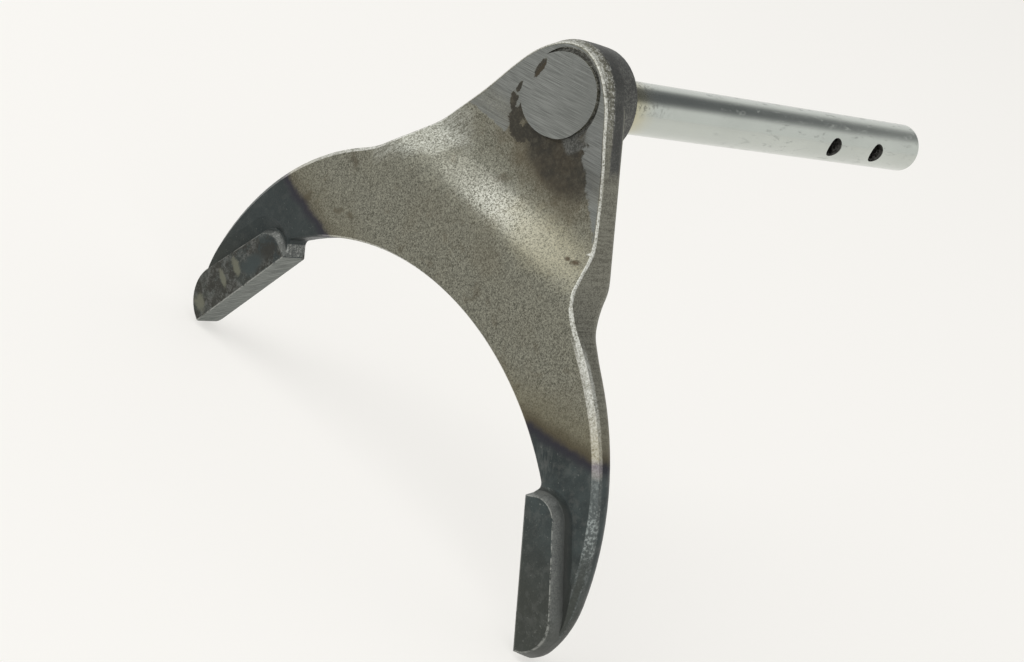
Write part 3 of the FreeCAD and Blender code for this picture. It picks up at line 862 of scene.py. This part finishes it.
def add_camera():
    """The camera that sees the object as the photograph does."""
    data = bpy.data.cameras.new("photo_camera")
    data.lens = CAMERA_LENS
    data.sensor_width = SENSOR_WIDTH
    data.clip_start = CLIP_START
    camera = bpy.data.objects.new("photo_camera", data)
    bpy.context.scene.collection.objects.link(camera)
    turn = Matrix((CAMERA_RIGHT, CAMERA_UP, CAMERA_BACK)).transposed()
    camera.matrix_world = Matrix.Translation(Vector(CAMERA_PLACE)) @ turn.to_4x4()
    bpy.context.scene.camera = camera


def add_lamp(name, at, aim, size, power):
    """A round soft lamp that faces a point."""
    data = bpy.data.lights.new(name, "AREA")
    data.shape = "DISK"
    data.size = size
    data.energy = power
    lamp = bpy.data.objects.new(name, data)
    bpy.context.scene.collection.objects.link(lamp)
    lamp.location = at
    way = Vector(at) - Vector(aim)
    lamp.rotation_euler = way.to_track_quat("Z", "Y").to_euler()


def add_world():
    """Soft room light. Reflections find a pale room, darker overhead behind the object."""
    world = bpy.data.worlds.new("studio")
    bpy.context.scene.world = world
    world.use_nodes = True
    tree = world.node_tree
    background = tree.nodes["Background"]
    camera, glossy, clear = ray_kinds(tree)
    coordinates = tree.nodes.new("ShaderNodeTexCoord")
    behind, up = parts_of(tree, coordinates.outputs["Generated"])[1:]
    overhead = ramp(up, *DARK_UPWARD) * ramp(behind, *DARK_BEHIND)
    mirrored = blend(overhead, ROOM_LIGHT, ROOM_DARK)
    colour = blend(glossy, ROOM_SOFT, mirrored)
    colour = blend(camera.max(clear), colour, BACKGROUND)
    tree.links.new(colour.socket, background.inputs["Color"])
    background.inputs["Strength"].default_value = 1.0


def add_floor():
    """A pale floor under the object. Its own glow to the camera and to reflections keeps it as pale as
    the photograph's ground, while the lit part of its colour still takes the object's shadow."""
    low = cad_box[0][2] - FLOOR_DROP
    mesh = bpy.data.meshes.new("floor")
    half = FLOOR_SIZE / 2.0
    corners = [(-half, -half, low), (half, -half, low), (half, half, low), (-half, half, low)]
    mesh.from_pydata(corners, [], [(0, 1, 2, 3)])
    floor = bpy.data.objects.new("floor", mesh)
    bpy.context.scene.collection.objects.link(floor)
    material, tree, shader = new_material("floor")
    shader.inputs["Base Color"].default_value = FLOOR_COLOUR + (1.0,)
    shader.inputs["Roughness"].default_value = 1.0
    shader.inputs["Specular IOR Level"].default_value = 0.0
    camera, glossy, clear = ray_kinds(tree)
    shader.inputs["Emission Color"].default_value = FLOOR_GLOW + (1.0,)
    put(tree, shader.inputs["Emission Strength"], camera.max(glossy).max(clear))
    mesh.materials.append(material)


add_camera()
add_world()
add_floor()
add_lamp("key", KEY_PLACE, LAMP_AIM, KEY_SIZE, KEY_POWER)
add_lamp("fill", FILL_PLACE, LAMP_AIM, FILL_SIZE, FILL_POWER)

scene = bpy.context.scene
scene.view_settings.view_transform = "Standard"
